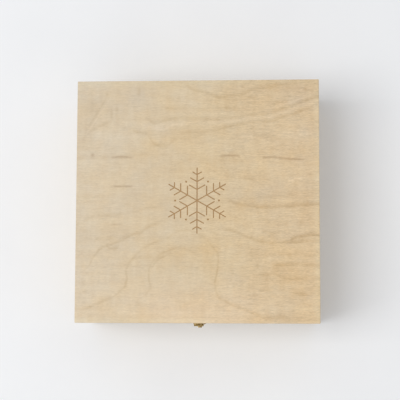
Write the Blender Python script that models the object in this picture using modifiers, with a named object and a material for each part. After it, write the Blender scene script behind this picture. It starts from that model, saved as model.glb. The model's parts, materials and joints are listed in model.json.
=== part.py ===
"""Wooden storage box with a hinged lid, two brass butt hinges and a brass hasp clasp.

Metres, +Z up. The origin is the centre of the underside. The clasp is on the front, at -Y,
and the hinges are on the back, at +Y. The lid is closed and the hasp hangs against the nose
of its keeper, not yet pressed over it.
"""
from math import asin, cos, degrees, pi, radians, sin

import bmesh
import bpy
from mathutils import Matrix, Vector

# Fit and cutting
fit = 0.0003                    # gap between pieces that touch, and around pins and nails
overrun = 0.004                 # how far a cutter passes the face that it cuts
merge_distance = 0.00001

# Wooden box
box_width = 0.250               # left to right
box_depth = 0.250               # front to back
base_height = 0.070             # underside to rim
wall_thickness = 0.009
rail_height = 0.036             # the lid's frame
lid_panel_thickness = 0.004
floor_thickness = 0.003
floor_rabbet = 0.005            # how far the floor panel reaches under each wall
edge_easing = 0.0007            # radius of the sanded outer edges
base_fingers = 9
rail_fingers = 5

# Butt hinges
hinge_length = 0.025
hinge_inset = 0.045             # side of the box to the middle of a hinge
hinge_sheet = 0.0010
hinge_leaf = 0.012              # pin axis to the free edge of a leaf
hinge_corner = 0.0012
hinge_pin_radius = 0.0008
hinge_pin_proud = 0.0004        # pin past each end of the barrel
hinge_knuckles = 5
hinge_screw_pitch = 0.015       # between the two screws of a leaf
hinge_screw_drop = 0.0074       # pin axis to the screws

# Countersunk screws of the hinges
screw_head_radius = 0.0017
screw_head_depth = 0.0008
screw_shank_radius = 0.0008
screw_length = 0.0070
screw_point = 0.0016
screw_slot_width = 0.0005
screw_slot_depth = 0.0004

# Clasp plate on the lid
clasp_width = 0.010
clasp_sheet = 0.0006
clasp_plate_height = 0.0110     # pin axis to the plate's top edge
clasp_corner = 0.0018
clasp_pin_radius = 0.0006
clasp_pin_proud = 0.0002
clasp_pin_rise = 0.0052         # pin axis above the lid's lower rim
clasp_knuckles = 3
plate_nail_pitch = 0.0056
plate_nail_rise = 0.0068        # pin axis to the plate's nails

# Hasp tongue, as it lies when it is pressed over the nose
tongue_length = 0.0195          # pin axis to the lowest point of the finger lip
tongue_waist_width = 0.0066
tongue_shoulder = 0.0040        # pin axis to where the tongue starts to narrow
tongue_waist = 0.0105           # pin axis to where it has its waist width
tongue_tip_width = 0.0048
joggle_start = 0.0018           # pin axis to the bend that brings the tongue over the keeper
joggle_end = 0.0048
lip_radius = 0.0012
lip_turn = radians(112)
tip_corner = 0.0014

# Keeper on the base
keeper_width = 0.0130
keeper_height = 0.0080
keeper_corner = 0.0018
nose_drop = 0.0140              # pin axis to the middle of the nose
nose_width = 0.0026
nose_height = 0.0028
nose_reach = 0.0013             # nose beyond the keeper's plate
nose_root = 0.0003              # nose sunk into the plate that it is pressed from
nose_edge = 0.0002              # rounding of the nose's pressed edges
window_margin = 0.0005          # window around the nose
window_corner = 0.0006
keeper_nail_pitch = 0.0094

# Domed nails of the clasp
nail_head_radius = 0.0010
nail_head_height = 0.0005
nail_shank_radius = 0.0005
nail_length = 0.0060
nail_point = 0.0012

# Facets
turned_steps = 20
roll_steps = 20
corner_steps = 5
bend_steps = 8
lip_steps = 9
nose_steps = 6
nose_edge_steps = 2
dome_steps = 4
easing_steps = 3

# The rolled end of a leaf stops short of the leaf, so that the sheet is one closed shape
roll_sweep = radians(296)

# Heights and planes that several pieces share
lid_rim = base_height + fit
panel_bottom = lid_rim + rail_height + fit
lid_top = panel_bottom + lid_panel_thickness
front_face = -box_depth / 2
back_face = box_depth / 2

hinge_bore = hinge_pin_radius + fit
hinge_barrel = hinge_bore + hinge_sheet
hinge_out = fit + hinge_barrel
hinge_axis = Vector((0, back_face + hinge_out, base_height + fit / 2))

clasp_bore = clasp_pin_radius + fit
clasp_barrel = clasp_bore + clasp_sheet
clasp_out = fit + clasp_barrel
clasp_axis = Vector((0, front_face - clasp_out, lid_rim + clasp_pin_rise))

# Middle plane of the pressed-home tongue, measured out from its pin, and how far the hasp
# leans out from there while the nose holds it off
tongue_plane = fit + clasp_sheet + fit + clasp_sheet / 2 - clasp_out
nose_tip = fit + clasp_sheet + nose_reach
nose_tip_drop = nose_drop + nose_height / 2
hasp_lean = asin((nose_tip + fit - clasp_out - tongue_plane + clasp_sheet / 2) / nose_tip_drop)

TO_BACK = 1
TO_FRONT = -1


def clear_scene():
    for thing in list(bpy.data.objects):
        bpy.data.objects.remove(thing, do_unlink=True)


def new_collection(name):
    collection = bpy.data.collections.new(name)
    bpy.context.scene.collection.children.link(collection)
    return collection


def new_material(name, colour, roughness, metallic):
    material = bpy.data.materials.new(name)
    material.use_nodes = True
    shader = material.node_tree.nodes["Principled BSDF"]
    shader.inputs["Base Color"].default_value = (*colour, 1)
    shader.inputs["Roughness"].default_value = roughness
    shader.inputs["Metallic"].default_value = metallic
    return material


clear_scene()
parts = new_collection("wooden_storage_box")
cutters = new_collection("cutters")
birch = new_material("birch_veneer", (0.66, 0.53, 0.36), 0.55, 0)
solid_wood = new_material("light_solid_wood", (0.68, 0.52, 0.33), 0.6, 0)
plywood = new_material("birch_plywood", (0.64, 0.52, 0.36), 0.65, 0)
brass = new_material("yellow_brass", (0.62, 0.43, 0.16), 0.32, 1)


def add_object(name, shape, collection, location=(0, 0, 0), carrier=None):
    """Make an object of a bmesh. A carrier is an upright empty on a joint's axis."""
    mesh = bpy.data.meshes.new(name)
    bmesh.ops.recalc_face_normals(shape, faces=shape.faces)
    shape.to_mesh(mesh)
    shape.free()
    thing = bpy.data.objects.new(name, mesh)
    thing.location = location
    collection.objects.link(thing)
    if carrier:
        thing.parent = carrier
        thing.matrix_parent_inverse = Matrix.Translation(-carrier.location)
    return thing


def add_part(name, shape, material, location=(0, 0, 0), carrier=None):
    part = add_object(name, shape, parts, location, carrier)
    part.data.materials.append(material)
    return part


def add_cutter(name, shape, location=(0, 0, 0), carrier=None):
    cutter = add_object(name, shape, cutters, location, carrier)
    cutter.hide_render = True
    cutter.display_type = "WIRE"
    return cutter


def add_axis(name, location):
    axis = bpy.data.objects.new(name, None)
    axis.location = location
    axis.empty_display_size = wall_thickness
    cutters.objects.link(axis)
    return axis


def combine(target, other, operation="DIFFERENCE"):
    modifier = target.modifiers.new(other.name, "BOOLEAN")
    modifier.operation = operation
    modifier.solver = "EXACT"
    modifier.object = other


def add_block(shape, low, high):
    """Add the box between two corners to a bmesh."""
    low = Vector(low)
    high = Vector(high)
    size = Matrix.Diagonal((*(high - low), 1))
    bmesh.ops.create_cube(shape, size=1, matrix=Matrix.Translation((low + high) / 2) @ size)


def block_part(name, low, high, material, carrier=None):
    """A board, with its origin in its middle."""
    middle = (Vector(low) + Vector(high)) / 2
    shape = bmesh.new()
    add_block(shape, Vector(low) - middle, Vector(high) - middle)
    return add_part(name, shape, material, middle, carrier)


def block_cutter(name, low, high, carrier=None):
    shape = bmesh.new()
    add_block(shape, low, high)
    return add_cutter(name, shape, carrier=carrier)


def finger_cutter(name, length, height, bottom, count, first, carrier):
    """Notches at both ends of a board along X, in every second layer from the first given."""
    pitch = height / count
    inner = length / 2 - wall_thickness - fit
    outer = length / 2 + overrun
    reach = wall_thickness + overrun
    shape = bmesh.new()
    for layer in range(first, count, 2):
        low = bottom + pitch * layer - fit / 2
        high = bottom + pitch * (layer + 1) + fit / 2
        if layer == 0:
            low -= overrun
        if layer == count - 1:
            high += overrun
        add_block(shape, (inner, -reach, low), (outer, reach, high))
        add_block(shape, (-outer, -reach, low), (-inner, reach, high))
    return add_cutter(name, shape, carrier=carrier)


def round_edges(thing, width, steps):
    """Round a thing's sharp edges."""
    bevel = thing.modifiers.new("rounded_edges", "BEVEL")
    bevel.width = width
    bevel.segments = steps
    bevel.limit_method = "ANGLE"


def sanded_outline(name, bottom, top, carrier=None):
    """The outside of the glued-up base or lid, with the edges that its pieces share eased."""
    outline = block_cutter(name, (-box_width / 2, -box_depth / 2, bottom),
                           (box_width / 2, box_depth / 2, top), carrier)
    round_edges(outline, edge_easing, easing_steps)
    return outline


def finger_frame(prefix, suffix, bottom, height, count, outline, carrier=None):
    """Four boards joined by fingers at the corners: the front and back have the end layers."""
    half_width = box_width / 2
    half_depth = box_depth / 2
    top = bottom + height
    boards = {}
    for side, sign in (("front", -1), ("back", 1)):
        outer = sign * half_depth
        inner = outer - sign * wall_thickness
        board = block_part(f"{prefix}_{side}_{suffix}", (-half_width, min(outer, inner), bottom),
                           (half_width, max(outer, inner), top), solid_wood, carrier)
        combine(board, outline, "INTERSECT")
        notches = finger_cutter(f"{board.name}_notches", box_width, height, bottom, count, 1, carrier)
        notches.location.y = (outer + inner) / 2
        combine(board, notches)
        boards[side] = board
    for side, sign in (("left", -1), ("right", 1)):
        outer = sign * half_width
        inner = outer - sign * wall_thickness
        board = block_part(f"{prefix}_{side}_{suffix}", (min(outer, inner), -half_depth, bottom),
                           (max(outer, inner), half_depth, top), solid_wood, carrier)
        combine(board, outline, "INTERSECT")
        notches = finger_cutter(f"{board.name}_notches", box_depth, height, bottom, count, 0, carrier)
        notches.rotation_euler.z = pi / 2
        notches.location.x = (outer + inner) / 2
        combine(board, notches)
        boards[side] = board
    return boards


def rounded_rows(half_width, corner):
    """Rows of a strip from its free edge, as (distance from the edge, half width)."""
    rows = []
    for step in range(corner_steps + 1):
        turn = pi / 2 * step / corner_steps
        rows.append((corner * (1 - cos(turn)), half_width - corner * (1 - sin(turn))))
    return rows


def rolled_rows(bore, sheet, half_width):
    """Rows around the pin, from the point where the leaf meets the barrel to the rolled end."""
    middle = bore + sheet / 2
    rows = []
    for step in range(roll_steps + 1):
        turn = pi + roll_sweep * step / roll_steps
        rows.append((middle * cos(turn), middle * sin(turn), half_width))
    return rows


def sheet_part(name, rows, sheet, outward, leaf_side, location, carrier=None):
    """A bent strip of sheet. Rows are (out, along the leaf, half width), measured from the pin.

    outward is the way that the strip faces along Y, and leaf_side says whether its leaf
    lies above the pin or below it.
    """
    shape = bmesh.new()
    line = [shape.verts.new((0, out * outward, along * leaf_side)) for out, along, _ in rows]
    edges = [shape.edges.new(pair) for pair in zip(line, line[1:])]
    bmesh.ops.extrude_edge_only(shape, edges=edges)
    shape.verts.ensure_lookup_table()
    for index, (_, _, half_width) in enumerate(rows):
        shape.verts[index].co.x = -half_width
        shape.verts[index + len(rows)].co.x = half_width
    part = add_part(name, shape, brass, location, carrier)
    solidify = part.modifiers.new("sheet", "SOLIDIFY")
    solidify.thickness = sheet
    solidify.offset = 0
    solidify.use_even_offset = True
    return part


def knuckle_cutter(part, length, count, first, barrel, leaf_side):
    """Cut the knuckles of the other leaf out of a rolled strip."""
    pitch = length / count
    clear = barrel + fit
    far = -(barrel + overrun) * leaf_side
    near = clear * leaf_side
    shape = bmesh.new()
    for knuckle in range(first, count, 2):
        low = pitch * knuckle - length / 2 - fit / 2
        high = pitch * (knuckle + 1) - length / 2 + fit / 2
        if knuckle == 0:
            low -= overrun
        if knuckle == count - 1:
            high += overrun
        add_block(shape, (low, -barrel - overrun, min(far, near)),
                  (high, barrel + overrun, max(far, near)))
    cutter = add_cutter(f"{part.name}_knuckles", shape)
    cutter.parent = part
    combine(part, cutter)


def turned_object(name, profile, steps=turned_steps):
    """Spin a profile of (radius, height), which runs down the outer side, about Z."""
    shape = bmesh.new()
    line = [shape.verts.new((radius, 0, height)) for radius, height in profile]
    for pair in zip(line, line[1:]):
        shape.edges.new(pair)
    mesh = bpy.data.meshes.new(name)
    shape.to_mesh(mesh)
    shape.free()
    thing = bpy.data.objects.new(name, mesh)
    screw = thing.modifiers.new("turn", "SCREW")
    screw.axis = "Z"
    screw.angle = 2 * pi
    screw.steps = steps
    screw.render_steps = steps
    screw.use_merge_vertices = True
    screw.merge_threshold = merge_distance
    screw.use_smooth_shade = True
    return thing


def place_turned(thing, collection, location, outward, carrier):
    """Stand a turned piece on a face, with its axis along Y and its head outward."""
    thing.location = location
    thing.rotation_euler.x = -pi / 2 * outward
    collection.objects.link(thing)
    if carrier:
        thing.parent = carrier
        thing.matrix_parent_inverse = Matrix.Translation(-carrier.location)


def screw_profile(gap, proud=0):
    """Countersunk screw from its flat head, or with a gap the hole that takes it."""
    head = screw_head_radius + gap
    shank = screw_shank_radius + gap
    tip = -screw_length - gap
    return [(0, proud), (head, proud), (head, 0), (shank, -screw_head_depth),
            (shank, tip + screw_point), (0, tip)]


def nail_profile(gap, proud=0):
    """Domed nail standing on its plate, or with a gap the hole that takes its shank."""
    shank = nail_shank_radius + gap
    tip = -nail_length - gap
    profile = []
    if proud:
        profile += [(0, proud), (shank, proud)]
    else:
        for step in range(dome_steps + 1):
            turn = pi / 2 * step / dome_steps
            profile.append((nail_head_radius * sin(turn), nail_head_height * cos(turn)))
        profile.append((shank, 0))
    return profile + [(shank, tip + nail_point), (0, tip)]


def pin_part(name, radius, length, location, carrier=None):
    """A pin along X with chamfered ends."""
    chamfer = radius / 3
    profile = [(0, length / 2), (radius - chamfer, length / 2), (radius, length / 2 - chamfer),
               (radius, chamfer - length / 2), (radius - chamfer, -length / 2), (0, -length / 2)]
    pin = turned_object(name, profile)
    pin.data.materials.append(brass)
    pin.location = location
    pin.rotation_euler.y = pi / 2
    parts.objects.link(pin)
    if carrier:
        pin.parent = carrier
        pin.matrix_parent_inverse = Matrix.Translation(-carrier.location)


def fasten(name, profile, location, outward, pierced, carrier):
    """A screw or nail with the hole that it needs in each piece that it passes through."""
    fastener = turned_object(name, profile(0))
    fastener.data.materials.append(brass)
    place_turned(fastener, parts, location, outward, carrier)
    hole = turned_object(f"{name}_hole", profile(fit, overrun))
    hole.hide_render = True
    hole.display_type = "WIRE"
    place_turned(hole, cutters, location, outward, carrier)
    for piece in pierced:
        combine(piece, hole)
    return fastener


def slot_screw(screw, turn):
    """Cut the driver's slot across a screw's head."""
    shape = bmesh.new()
    reach = screw_head_radius + overrun
    add_block(shape, (-reach, -screw_slot_width / 2, -screw_slot_depth),
              (reach, screw_slot_width / 2, overrun))
    slot = add_cutter(f"{screw.name}_slot", shape)
    slot.parent = screw
    slot.rotation_euler.z = turn
    combine(screw, slot)


def butt_hinge(side, middle, base_wall, lid_rail, lid_axis):
    """Two rolled leaves on a pin, each held by two countersunk screws."""
    half = hinge_length / 2
    leaf = [(-hinge_bore - hinge_sheet / 2, hinge_leaf - inset, width)
            for inset, width in rounded_rows(half, hinge_corner)]
    rows = leaf + rolled_rows(hinge_bore, hinge_sheet, half)
    place = hinge_axis + Vector((middle, 0, 0))
    for body, leaf_side, first, wall, carrier in (
            ("base", -1, 1, base_wall, None), ("lid", 1, 0, lid_rail, lid_axis)):
        part = sheet_part(f"{side}_hinge_{body}_leaf", rows, hinge_sheet, TO_BACK, leaf_side,
                          place, carrier)
        knuckle_cutter(part, hinge_length, hinge_knuckles, first, hinge_barrel, leaf_side)
        for number, shift in ((1, -hinge_screw_pitch / 2), (2, hinge_screw_pitch / 2)):
            seat = Vector((middle + shift, back_face + fit + hinge_sheet,
                           hinge_axis.z + hinge_screw_drop * leaf_side))
            screw = fasten(f"{side}_hinge_{body}_screw_{number}", screw_profile, seat, TO_BACK,
                           (part, wall), carrier)
            slot_screw(screw, pi / 5 * number + middle * leaf_side / box_width)
    pin_part(f"{side}_hinge_pin", hinge_pin_radius, hinge_length + 2 * hinge_pin_proud, place)


def clasp_plate(lid_rail, lid_axis):
    """The plate on the lid, with two knuckles for the hasp's pin."""
    half = clasp_width / 2
    leaf = [(-clasp_bore - clasp_sheet / 2, clasp_plate_height - inset, width)
            for inset, width in rounded_rows(half, clasp_corner)]
    plate = sheet_part("clasp_plate", leaf + rolled_rows(clasp_bore, clasp_sheet, half),
                       clasp_sheet, TO_FRONT, 1, clasp_axis, lid_axis)
    knuckle_cutter(plate, clasp_width, clasp_knuckles, 1, clasp_barrel, 1)
    for number, sign in ((1, -1), (2, 1)):
        seat = Vector((sign * plate_nail_pitch / 2, front_face - fit - clasp_sheet - fit,
                       clasp_axis.z + plate_nail_rise))
        fasten(f"clasp_plate_nail_{number}", nail_profile, seat, TO_FRONT, (plate, lid_rail),
               lid_axis)
    pin_part("clasp_pin", clasp_pin_radius, clasp_width + 2 * clasp_pin_proud, clasp_axis, lid_axis)


def ease(share):
    """Go from 0 to 1 and start and end level."""
    return (1 - cos(pi * share)) / 2


def tongue_rows():
    """The hasp's strip, from the tip of its curled lip up to its knuckle."""
    tip_half = tongue_tip_width / 2
    waist_half = tongue_waist_width / 2
    full_half = clasp_width / 2
    rows = []
    curl_length = lip_radius * lip_turn
    lip_centre = tongue_length - lip_radius
    for step in range(lip_steps + 1):
        turn = pi - lip_turn * (1 - step / lip_steps)
        gone = curl_length * step / lip_steps
        half_width = tip_half
        if gone < tip_corner:
            half_width -= tip_corner - (tip_corner ** 2 - (tip_corner - gone) ** 2) ** 0.5
            half_width = max(half_width, tip_half - tip_corner * 3 / 4)
        rows.append((tongue_plane + lip_radius + lip_radius * cos(turn),
                     lip_centre + lip_radius * sin(turn), half_width))
    window_foot = nose_drop + nose_height / 2 + window_margin
    rows.append((tongue_plane, window_foot, waist_half))
    rows.append((tongue_plane, tongue_waist, waist_half))
    for step in range(1, bend_steps):
        share = step / bend_steps
        along = tongue_waist + (tongue_shoulder - tongue_waist) * share
        if along > joggle_end:
            rows.append((tongue_plane, along, waist_half + (full_half - waist_half) * ease(share)))
    start_plane = -clasp_bore - clasp_sheet / 2
    for step in range(bend_steps + 1):
        share = step / bend_steps
        along = joggle_end + (joggle_start - joggle_end) * share
        reached = min(1, (tongue_waist - along) / (tongue_waist - tongue_shoulder))
        rows.append((tongue_plane + (start_plane - tongue_plane) * ease(share), along,
                     waist_half + (full_half - waist_half) * ease(reached)))
    return rows + rolled_rows(clasp_bore, clasp_sheet, full_half)


def clasp_hasp(lid_axis):
    """The tongue with its knuckle, its window for the nose and its curled finger lip."""
    hasp = sheet_part("clasp_hasp", tongue_rows(), clasp_sheet, TO_FRONT, -1, clasp_axis, lid_axis)
    knuckle_cutter(hasp, clasp_width, clasp_knuckles, 0, clasp_barrel, -1)
    window = add_cutter("clasp_hasp_window",
                        rounded_plate(nose_width / 2 + window_margin, nose_height / 2 + window_margin,
                                      window_corner, 2 * overrun),
                        Vector((0, overrun, -nose_drop)))
    window.parent = hasp
    combine(hasp, window)
    hasp.rotation_euler.x = -hasp_lean


def prism(corners, shift):
    """The prism that a flat outline sweeps when it is moved."""
    shape = bmesh.new()
    face = shape.faces.new([shape.verts.new(corner) for corner in corners])
    grown = bmesh.ops.extrude_face_region(shape, geom=[face])
    moved = [item for item in grown["geom"] if isinstance(item, bmesh.types.BMVert)]
    bmesh.ops.translate(shape, verts=moved, vec=shift)
    return shape


def rounded_plate(half_width, half_height, corner, thickness):
    """A flat plate in the XZ plane, from y = 0 towards the front."""
    corners = []
    for quarter, (side, level) in enumerate(((1, 1), (-1, 1), (-1, -1), (1, -1))):
        for step in range(corner_steps + 1):
            turn = pi / 2 * (quarter + step / corner_steps)
            corners.append((side * (half_width - corner) + corner * cos(turn), 0,
                            level * (half_height - corner) + corner * sin(turn)))
    return prism(corners, (0, -thickness, 0))


def nose_shape():
    """The pressed nose: flat below, where it holds the window, and ramped above."""
    outline = [(-nose_width / 2, nose_root, -nose_height / 2)]
    for step in range(nose_steps + 1):
        turn = pi / 2 * step / nose_steps
        outline.append((-nose_width / 2, -nose_reach * cos(turn),
                        nose_height * sin(turn) - nose_height / 2))
    outline.append((-nose_width / 2, nose_root, nose_height / 2))
    return prism(outline, (nose_width, 0, 0))


def clasp_keeper(base_wall):
    """The plate on the base, with the nose that the hasp is pressed over."""
    middle = Vector((0, front_face - fit, clasp_axis.z - nose_drop))
    plate = rounded_plate(keeper_width / 2, keeper_height / 2, keeper_corner, clasp_sheet)
    keeper = add_part("clasp_keeper", plate, brass, middle)
    nose = add_cutter("clasp_keeper_nose", nose_shape(), middle - Vector((0, clasp_sheet, 0)))
    round_edges(nose, nose_edge, nose_edge_steps)
    combine(keeper, nose, "UNION")
    for number, sign in ((1, -1), (2, 1)):
        seat = middle + Vector((sign * keeper_nail_pitch / 2, -clasp_sheet - fit, 0))
        fasten(f"clasp_keeper_nail_{number}", nail_profile, seat, TO_FRONT, (keeper, base_wall), None)


def floor_panel(walls):
    """The plywood floor, glued into a rabbet around the foot of the walls."""
    half_width = box_width / 2 - wall_thickness + floor_rabbet
    half_depth = box_depth / 2 - wall_thickness + floor_rabbet
    block_part("base_floor_panel", (-half_width, -half_depth, 0),
               (half_width, half_depth, floor_thickness), plywood)
    rabbet = block_cutter("floor_rabbet", (-half_width - fit, -half_depth - fit, -overrun),
                          (half_width + fit, half_depth + fit, floor_thickness + fit))
    for wall in walls.values():
        combine(wall, rabbet)


def lid_panel(outline, lid_axis):
    """The veneered top of the lid, sanded flush with the frame that carries it."""
    panel = block_part("lid_top_panel", (-box_width / 2, -box_depth / 2, panel_bottom),
                       (box_width / 2, box_depth / 2, lid_top), birch, lid_axis)
    combine(panel, outline, "INTERSECT")


lid_axis = add_axis("lid_axis", hinge_axis)
base_outline = sanded_outline("base_outline", 0, base_height)
walls = finger_frame("base", "wall", 0, base_height, base_fingers, base_outline)
floor_panel(walls)
lid_outline = sanded_outline("lid_outline", lid_rim, lid_top, lid_axis)
rails = finger_frame("lid", "rail", lid_rim, rail_height, rail_fingers, lid_outline, lid_axis)
lid_panel(lid_outline, lid_axis)
for side, sign in (("left", -1), ("right", 1)):
    butt_hinge(side, sign * (box_width / 2 - hinge_inset), walls["back"], rails["back"], lid_axis)
clasp_plate(rails["front"], lid_axis)
clasp_hasp(lid_axis)
clasp_keeper(walls["front"])

print("lid hinge axis", tuple(round(value, 6) for value in hinge_axis))
print("hasp hinge axis", tuple(round(value, 6) for value in clasp_axis))
print("hasp leans out by", round(degrees(hasp_lean), 3), "degrees")
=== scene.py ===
"""The looks of a light wooden storage box with an engraved lid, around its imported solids.

Metres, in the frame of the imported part: +Z up, the clasp on the front, at -Y, and the hinges
on the back, at +Y. Each piece takes its place and size from the solid that it stands for.
"""
import json
from math import atan2, cos, hypot, pi, radians, sin

import bmesh
import bpy
from mathutils import Euler, Matrix, Vector

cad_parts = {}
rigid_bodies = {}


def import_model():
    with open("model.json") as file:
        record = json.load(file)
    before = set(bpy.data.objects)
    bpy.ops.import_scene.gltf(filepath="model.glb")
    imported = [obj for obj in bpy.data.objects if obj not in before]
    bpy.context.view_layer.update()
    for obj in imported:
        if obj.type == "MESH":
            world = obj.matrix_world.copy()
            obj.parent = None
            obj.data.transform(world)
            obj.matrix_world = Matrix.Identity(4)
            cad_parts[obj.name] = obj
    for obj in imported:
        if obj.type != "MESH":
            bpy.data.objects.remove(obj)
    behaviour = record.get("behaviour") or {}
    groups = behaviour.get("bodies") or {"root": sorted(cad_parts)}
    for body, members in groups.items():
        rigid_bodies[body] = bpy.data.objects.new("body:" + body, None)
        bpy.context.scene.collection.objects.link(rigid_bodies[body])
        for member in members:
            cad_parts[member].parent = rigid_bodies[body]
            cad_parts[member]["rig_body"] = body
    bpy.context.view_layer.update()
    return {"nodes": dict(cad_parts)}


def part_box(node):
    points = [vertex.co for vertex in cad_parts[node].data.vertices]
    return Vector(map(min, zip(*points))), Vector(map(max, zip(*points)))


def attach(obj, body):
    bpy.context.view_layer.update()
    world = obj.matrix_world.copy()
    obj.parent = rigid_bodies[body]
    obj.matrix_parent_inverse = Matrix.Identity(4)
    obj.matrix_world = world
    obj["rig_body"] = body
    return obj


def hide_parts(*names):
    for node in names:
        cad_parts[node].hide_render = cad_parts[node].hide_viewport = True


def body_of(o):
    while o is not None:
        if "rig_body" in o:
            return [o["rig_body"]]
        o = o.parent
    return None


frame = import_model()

X = 0
Y = 1
Z = 2

# Woodwork
glue_line = 0.00006             # gap between glued fingers
edge_radius = 0.0007            # sanded outer edges
edge_steps = 4
arris_radius = 0.00018          # every other edge of a board
arris_steps = 2
round_profile = 0.5
base_layers = 9                 # fingers and notches from the bottom of a corner to its top
lid_layers = 5
overrun = 0.0040                # how far a cutter passes the face that it cuts
smooth_turn = radians(35)

# Engraved ornament on the lid
groove_width = 0.0011
groove_depth = 0.00030
groove_overrun = 0.0010
arm_reach = 0.0335
arm_count = 6
branch_turn = radians(60)
branch_place_shares = (0.34, 0.58, 0.80)        # along an arm
branch_length_shares = (0.27, 0.23, 0.15)       # of an arm
cap_steps = 6
dot_radius = 0.0010
dot_ring = 0.0225
dot_steps = 24

# Brass sheet. The solids keep a clearance around pins and behind leaves, and the metal fills it.
clearance = 0.0003
brass_gap = 0.00005
packing = clearance - brass_gap
stamped_edge = 0.00012
stamped_steps = 2
merge_distance = 0.000001
roll_sweep = radians(288)
roll_steps = 44
swage_steps = 8
corner_steps = 8
turned_steps = 40
pin_chamfer_share = 1 / 3       # of a pin's radius

# Butt hinges
hinge_sheet = 0.0010
hinge_barrel = 0.0021           # radius of a knuckle
hinge_corner = 0.0012
hinge_knuckles = 5
hinge_swage = (0.0036, 0.0022)  # pin axis to where a leaf steps back onto the wood
screw_head_radius = 0.0017
screw_head_depth = 0.0008
screw_shank_radius = 0.0008
screw_length = 0.0070
screw_point = 0.0016
screw_slot_width = 0.0005
screw_slot_depth = 0.0004
screw_turn = radians(36)        # how far the second screw's slot is turned from the first
screw_turn_per_metre = 4.0      # and each one with its hinge's place along X

# Clasp
clasp_sheet = 0.0006
clasp_barrel = 0.0015
clasp_corner = 0.0018
clasp_knuckles = 3
clasp_swage = (0.0029, 0.0017)
tongue_length = 0.0195          # pin axis to the lowest point of the finger lip
tongue_waist_width = 0.0066
tongue_shoulder = 0.0040        # pin axis to where the tongue starts to narrow
tongue_waist = 0.0105           # pin axis to where it has its waist width
tongue_tip_width = 0.0048
tongue_plane = -0.0003          # out from the pin axis to the middle of the tongue's sheet
joggle_start = 0.0018
joggle_end = 0.0048
lip_radius = 0.0012
lip_turn = radians(112)
lip_crown = 0.0003              # how far the lip's middle stands up between its sides
lip_columns = 8
tip_corner = 0.0014
tip_corner_share = 0.75         # of that corner that is rounded before the tip is cut square
bend_steps = 14
lip_steps = 16
hasp_lean = radians(4.842)      # out from the pressed-home place, where the nose holds it
nose_drop = 0.0140              # pin axis to the middle of the nose
nose_width = 0.0026
nose_height = 0.0028
nose_reach = 0.0013
nose_root = 0.0003
nose_edge = 0.0002
nose_steps = 12
window_margin = 0.0005
window_corner = 0.0006
keeper_corner = 0.0018
nail_head_radius = 0.0010
nail_head_height = 0.0005
nail_shank_radius = 0.0005
nail_length = 0.0060
nail_point = 0.0012
dome_steps = 8

TO_BACK = 1
TO_FRONT = -1
UP = 1
DOWN = -1

# Camera, as found from the lid's corners in the photograph
image_pixels = 400
focal_pixels = 1161.18
sensor_width = 36.0
camera_place = Vector((0.078956, -0.118795, 1.290895))
camera_turn = Euler((radians(5.773), radians(3.661), radians(0.194)), "XYZ")
near_clip = 0.01
far_clip = 20.0

# Studio
floor_half_width = 3.0
room_light = 0.64
window_width = 1.2
window_height = 1.8
window_power = 32.5
window_colour = (1.0, 0.99, 0.97)
window_place = Vector((-1.22, -0.18, 2.59))

lid_low, lid_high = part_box("lid_top_panel")
lid_size = lid_high - lid_low


class Signal:
    """One output of a node. Sums on it add Math nodes to the same finish."""

    def __init__(self, finish, socket):
        self.finish = finish
        self.socket = socket

    def __add__(self, other):
        return self.finish.math("ADD", self, other)

    def __radd__(self, other):
        return self.finish.math("ADD", other, self)

    def __sub__(self, other):
        return self.finish.math("SUBTRACT", self, other)

    def __rsub__(self, other):
        return self.finish.math("SUBTRACT", other, self)

    def __mul__(self, other):
        return self.finish.math("MULTIPLY", self, other)

    def __rmul__(self, other):
        return self.finish.math("MULTIPLY", other, self)

    def __truediv__(self, other):
        return self.finish.math("DIVIDE", self, other)

    def __pow__(self, other):
        return self.finish.math("POWER", self, other)


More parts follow.
